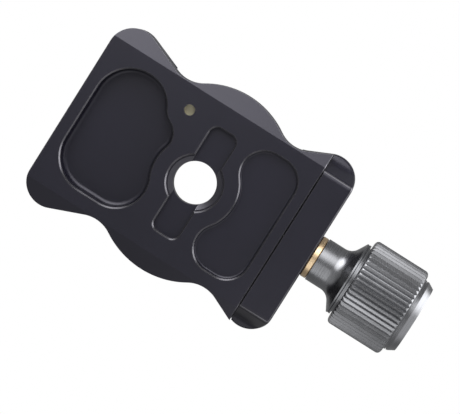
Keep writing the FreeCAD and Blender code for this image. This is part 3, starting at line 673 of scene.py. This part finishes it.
def spring_coil(low, high):
    """A tube along a helix that fills the box of the spring's solid."""
    mesh = bmesh.new()
    middle = (low + high) / 2
    coil_radius = (high.y - low.y) / 2 - WIRE_RADIUS
    length = high.x - low.x - 2 * WIRE_RADIUS
    rings = []
    for step in range(SPRING_TURNS * STEPS_PER_TURN + 1):
        turn = step / STEPS_PER_TURN
        angle = 2 * math.pi * turn
        outward = Vector((0, math.cos(angle), math.sin(angle)))
        x = low.x + WIRE_RADIUS + coil_height(turn, length)
        rings.append(wire_ring(mesh, Vector((x, middle.y, middle.z)) + outward * coil_radius, outward))
    closed_tube(mesh, rings)
    return mesh


for end in ("front", "rear"):
    solid = f"return_spring_{end}"
    low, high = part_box(solid)
    spring = add_piece(f"coil_spring_{end}", spring_coil(low, high), finishes["spring_wire"])
    smooth(spring, SPRING_CREASE)
    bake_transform(spring)
    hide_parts(solid)
    print(f"{spring.name}: {SPRING_TURNS} turns, {(high.x - low.x) / MM:.2f} mm long")

# %% [markdown]
# A round level has one thin ring printed on its lens, and the level is true when the bubble sits inside
# the ring. It is modelled as a very low raised ring on the flat top of the lens, so that it shows from
# every side.

# %% Print the level's ring
RING_RADIUS = 1.75 * MM
RING_WIDTH = 0.22 * MM
RING_PROUD = 0.02 * MM
RING_SINK = 0.05 * MM
INK_SPECKLE = 0.15 * MM
window_low, window_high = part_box("level_window")


def printed_ring():
    mesh = bmesh.new()
    middle = (window_low + window_high) / 2
    inner = RING_RADIUS - RING_WIDTH / 2
    outer = RING_RADIUS + RING_WIDTH / 2
    bottom = window_high.z - RING_SINK
    top = window_high.z + RING_PROUD
    rings = []
    for radius, z in ((inner, bottom), (outer, bottom), (outer, top), (inner, top)):
        rings.append([
            mesh.verts.new((middle.x + radius * math.cos(turn), middle.y + radius * math.sin(turn), z))
            for turn in full_turn(SIDES)])
    for first, second in zip(rings, rings[1:] + rings[:1]):
        skin(mesh, first, second)
    return mesh


def ring_ink():
    material, tree, shader = new_finish("ring_ink")
    mottle(tree, shader, INK_SPECKLE,
           first=(0.02, 0.02, 0.02), second=(0.035, 0.035, 0.03), roughness=(0.35, 0.55))
    return material


level_ring = add_piece("level_ring", printed_ring(), ring_ink())
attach(level_ring, "base")
print(f"level ring {2 * RING_RADIUS / MM:.1f} mm across")

# %% [markdown]
# The floor is a sheet of white paper. The camera looks up from below, so the sheet shows only from above:
# its underside lets everything through, and no light or reflection is stopped by it. Far out the paper
# fades into the white of the room, so that no horizon shows. The room's walls could be built to meet it,
# but a fade needs no corner.

# %% Paper for the floor
PAPER = (0.875, 0.875, 0.875)
PALE_PAPER = (0.89, 0.89, 0.888)
FIBRE_SIZE = 0.4 * MM
FADE_START = 0.09
FADE_END = 0.34


def eased(tree, value, start, end, most=1.0):
    """Goes softly from 0 to the most while a value goes from start to end."""
    node = add_node(tree, "ShaderNodeMapRange", {"interpolation_type": "SMOOTHSTEP"},
                    Value=value, From_Min=start, From_Max=end, To_Max=most)
    return node.outputs["Result"]


def mixed(tree, share, first, second):
    """A mix from the first shader to the second."""
    node = add_node(tree, "ShaderNodeMixShader")
    for socket, value in zip(node.inputs, (share, first.outputs[0], second.outputs[0])):
        fill(tree, socket, value)
    return node


def floor_paper():
    material, tree = empty_material("floor_paper")
    fibres = two_colours(tree, patches(tree, FIBRE_SIZE), PAPER, PALE_PAPER)
    paper = add_node(tree, "ShaderNodeBsdfDiffuse", Color=fibres)
    white = add_node(tree, "ShaderNodeEmission", Strength=1.0)
    clear = add_node(tree, "ShaderNodeBsdfTransparent")
    distance = vector_node(tree, "LENGTH", place(tree))["Value"]
    above = mixed(tree, eased(tree, distance, FADE_START, FADE_END), paper, white)
    from_below = add_node(tree, "ShaderNodeNewGeometry").outputs["Backfacing"]
    show(tree, mixed(tree, from_below, above, clear))
    return material


floor_finish = floor_paper()
print(f"made {floor_finish.name}, white from {FADE_END:.2f} m on")

# %% [markdown]
# The clamp isn't level when it lies on a table: it rests on the far edge of its base and on the knob,
# which reaches lower. The clamp could be tilted to a level floor, but the solids stay where they are, so
# the sheet slopes gently to touch both.

# %% Lay the paper floor
FLOOR_HALF = 3.0
FLAT_SLACK = 0.02 * MM


def vertices_of(node):
    """A solid's vertices as rows of x, y, z."""
    mesh = nodes[node].data
    places = np.empty(len(mesh.vertices) * 3)
    mesh.vertices.foreach_get("co", places)
    return places.reshape(-1, 3)


def resting_line():
    """The base's far lower edge, and the slope from there down to the knob's lowest point."""
    base = vertices_of("base_plate")
    edge = base[base[:, 2] < FLAT_SLACK][:, 0].min()
    knob = vertices_of("knob")
    slope = (-knob[:, 2] / (knob[:, 0] - edge)).max()
    return edge, math.atan(slope)


def flat_sheet(name, half_width, half_length, finish):
    """A flat rectangle about its own middle, facing its own +Z."""
    mesh = bmesh.new()
    corners = ((-1, -1), (1, -1), (1, 1), (-1, 1))
    mesh.faces.new([mesh.verts.new((half_width * x, half_length * y, 0)) for x, y in corners])
    sheet = as_object(name, mesh, finish)
    return sheet


floor = flat_sheet("paper_floor", FLOOR_HALF, FLOOR_HALF, floor_finish)
edge_x, floor_slope = resting_line()
floor.matrix_world = Matrix.Translation((edge_x, 0, 0)) @ Matrix.Rotation(floor_slope, 4, "Y")
floor.visible_diffuse = False
floor.visible_glossy = False
floor.visible_transmission = False
floor.visible_shadow = False
print(f"floor slopes {math.degrees(floor_slope):.2f} degrees from x = {edge_x / MM:.1f} mm")

# %% [markdown]
# The room is white to the eye, in reflections and through clear pieces, and dimmer as a source of light,
# so that the lamps do the shaping. White walls could be built all round, but the background can tell by
# itself whether a ray comes from the eye or gathers light for a surface, and it has no corners that go
# grey.

# %% White room
ROOM_LIGHT = 0.35


def white_room():
    world = bpy.data.worlds.new("white_room")
    world.use_nodes = True
    tree = world.node_tree
    tree.nodes.clear()
    path = add_node(tree, "ShaderNodeLightPath").outputs
    seen = math_node(tree, "ADD", path["Is Camera Ray"], path["Is Glossy Ray"])
    seen = math_node(tree, "ADD", seen, path["Is Transmission Ray"])
    strength = add_node(tree, "ShaderNodeMapRange", Value=seen, To_Min=ROOM_LIGHT, To_Max=1.0)
    room = add_node(tree, "ShaderNodeBackground", Color=(1, 1, 1, 1), Strength=strength.outputs["Result"])
    add_node(tree, "ShaderNodeOutputWorld", Surface=room.outputs[0])
    return world


bpy.context.scene.world = white_room()
print("room light", ROOM_LIGHT)

# %% [markdown]
# Five soft boxes give the plain, even light that brings the colours out: four below, where the camera is,
# and one over the jaws. They don't show in reflections, because their hard rectangles would stand out on
# the turned knob. What the metal reflects is made on its own in the next steps.

# %% Hang the soft boxes
HEAD_LAMP = (-0.27, -0.63, -0.71)
REFLECTOR = (0.0, 0.64, -0.77)


def facing(direction, distance, about=(0, 0, 0)):
    """The matrix of a thing that far from a point, with its own Z pointing away from it."""
    away = Vector(direction).normalized()
    along = beside(away)
    return standing(Vector(about) + away * distance, along, away.cross(along), away)


def soft_box(name, direction, distance, width, length, brightness):
    """A rectangular lamp that looks at the clamp; a brightness of 1 is as bright as white paper."""
    lamp = bpy.data.lights.new(name, "AREA")
    lamp.shape = "RECTANGLE"
    lamp.size = width
    lamp.size_y = length
    lamp.energy = brightness * math.pi * width * length
    box = bpy.data.objects.new(name, lamp)
    box.matrix_world = facing(direction, distance)
    box.visible_camera = False
    box.visible_glossy = False
    bpy.context.scene.collection.objects.link(box)


soft_box("window_box", (0.62, -0.66, -0.40), distance=0.32, width=0.30, length=0.20, brightness=3.4)
soft_box("head_box", HEAD_LAMP, distance=0.45, width=0.24, length=0.24, brightness=3.0)
soft_box("reflector_box", REFLECTOR, distance=0.45, width=0.40, length=0.20, brightness=0.8)
soft_box("fill_box", (0.10, -0.15, -1.0), distance=0.60, width=0.30, length=0.30, brightness=1.5)
soft_box("top_box", (-0.25, -0.45, 1.0), distance=0.60, width=0.50, length=0.50, brightness=3.2)

# %% [markdown]
# Turned metal and black anodising show little colour of their own; most of what one sees on them is the
# room. Small metal goods are photographed in a tent of thin cloth for that reason. The cloth glows
# faintly all round, and more where a lamp stands behind it. Lamps could be hung outside a real sheet of
# cloth, but a cloth that glows by itself gives the same picture with less noise.

# %% Cloth for the light tent
CLOTH_LUMP = 60 * MM
DIMMEST = 0.9
BRIGHTEST = 1.1


def glow(tree, direction, brightness, core, reach):
    """A round patch of light: full within core degrees of the direction, gone at reach degrees."""
    toward = vector_node(tree, "NORMALIZE", place(tree))["Vector"]
    alike = vector_node(tree, "DOT_PRODUCT", toward, Vector(direction).normalized())["Value"]
    return eased(tree, alike, math.cos(math.radians(reach)), math.cos(math.radians(core)), brightness)


def glowing_cloth(name, brightness, lamps=()):
    """Cloth that glows unevenly all over, and more where a lamp stands behind it."""
    material, tree = empty_material(name)
    light = spread(tree, cloud(tree, CLOTH_LUMP), brightness * DIMMEST, brightness * BRIGHTEST)
    for lamp in lamps:
        light = math_node(tree, "ADD", light, glow(tree, **lamp))
    show(tree, add_node(tree, "ShaderNodeEmission", Strength=light))
    return material


def only_reflected(thing):
    """Hides a thing from everything but reflections."""
    thing.visible_camera = False
    thing.visible_diffuse = False
    thing.visible_transmission = False
    thing.visible_shadow = False


print(f"cloth glows from {DIMMEST} to {BRIGHTEST} of its brightness")

# %% [markdown]
# This tent is a dome with five bright places, so that every edge and curve picks up a soft light from its
# own side: a window towards the knob for the cap and the rims, a lamp beside the camera for the knob's
# neck, a lamp at the side for the other rims, and two pale walls, one below the knob and one below the
# far end of the base. It shows only in reflections.

# %% Put up the light tent
TENT_RADIUS = 0.25
TENT_RIBS = 48
TENT_HOOPS = 24
TENT_GLOW = 0.30
WINDOW = (0.865, -0.50, 0.05)
SIDE_LAMP = (-0.53, -0.80, -0.28)
LOW_WALL = (0.82, 0.38, -0.42)
FAR_WALL = (-0.35, 0.66, -0.66)
tent_lamps = (
    dict(direction=WINDOW, brightness=3.6, core=14, reach=33),
    dict(direction=HEAD_LAMP, brightness=3.8, core=8, reach=38.5),
    dict(direction=SIDE_LAMP, brightness=2.9, core=8, reach=31),
    dict(direction=LOW_WALL, brightness=0.65, core=18, reach=42),
    dict(direction=FAR_WALL, brightness=0.25, core=15, reach=42),
)


def light_tent():
    """A dome of cloth round the clamp."""
    mesh = bmesh.new()
    bmesh.ops.create_uvsphere(mesh, u_segments=TENT_RIBS, v_segments=TENT_HOOPS, radius=TENT_RADIUS)
    tent = as_object("light_tent", mesh, glowing_cloth("tent_cloth", TENT_GLOW, tent_lamps))
    only_reflected(tent)
    return tent


tent = light_tent()
print(f"{tent.name} {2 * TENT_RADIUS:.2f} m across, glow {TENT_GLOW}, {len(tent_lamps)} bright places")

# %% [markdown]
# One side of the knob's neck would still be nearly black, as it faces away from the window. A
# photographer holds a strip of white card there, just out of the picture. It could be one more bright
# place on the tent, but a narrow card close to the neck lights the neck alone, and the flat underside
# hardly reflects it.

# %% Hold a white card to the neck
NECK_MIDDLE = 4 * MM
CARD_DISTANCE = 0.10
CARD_HALF_WIDTH = 9 * MM
CARD_HALF_LENGTH = 60 * MM
CARD_GLOW = 1.65
card = flat_sheet("neck_card", CARD_HALF_WIDTH, CARD_HALF_LENGTH, glowing_cloth("card_cloth", CARD_GLOW))
neck_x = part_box("knob")[0].x + NECK_MIDDLE
card.matrix_world = facing(REFLECTOR, CARD_DISTANCE, (neck_x, 0, AXIS_HEIGHT))
only_reflected(card)
print(f"card {2 * CARD_HALF_LENGTH / MM:.0f} mm long beside the neck at x = {neck_x / MM:.1f} mm")
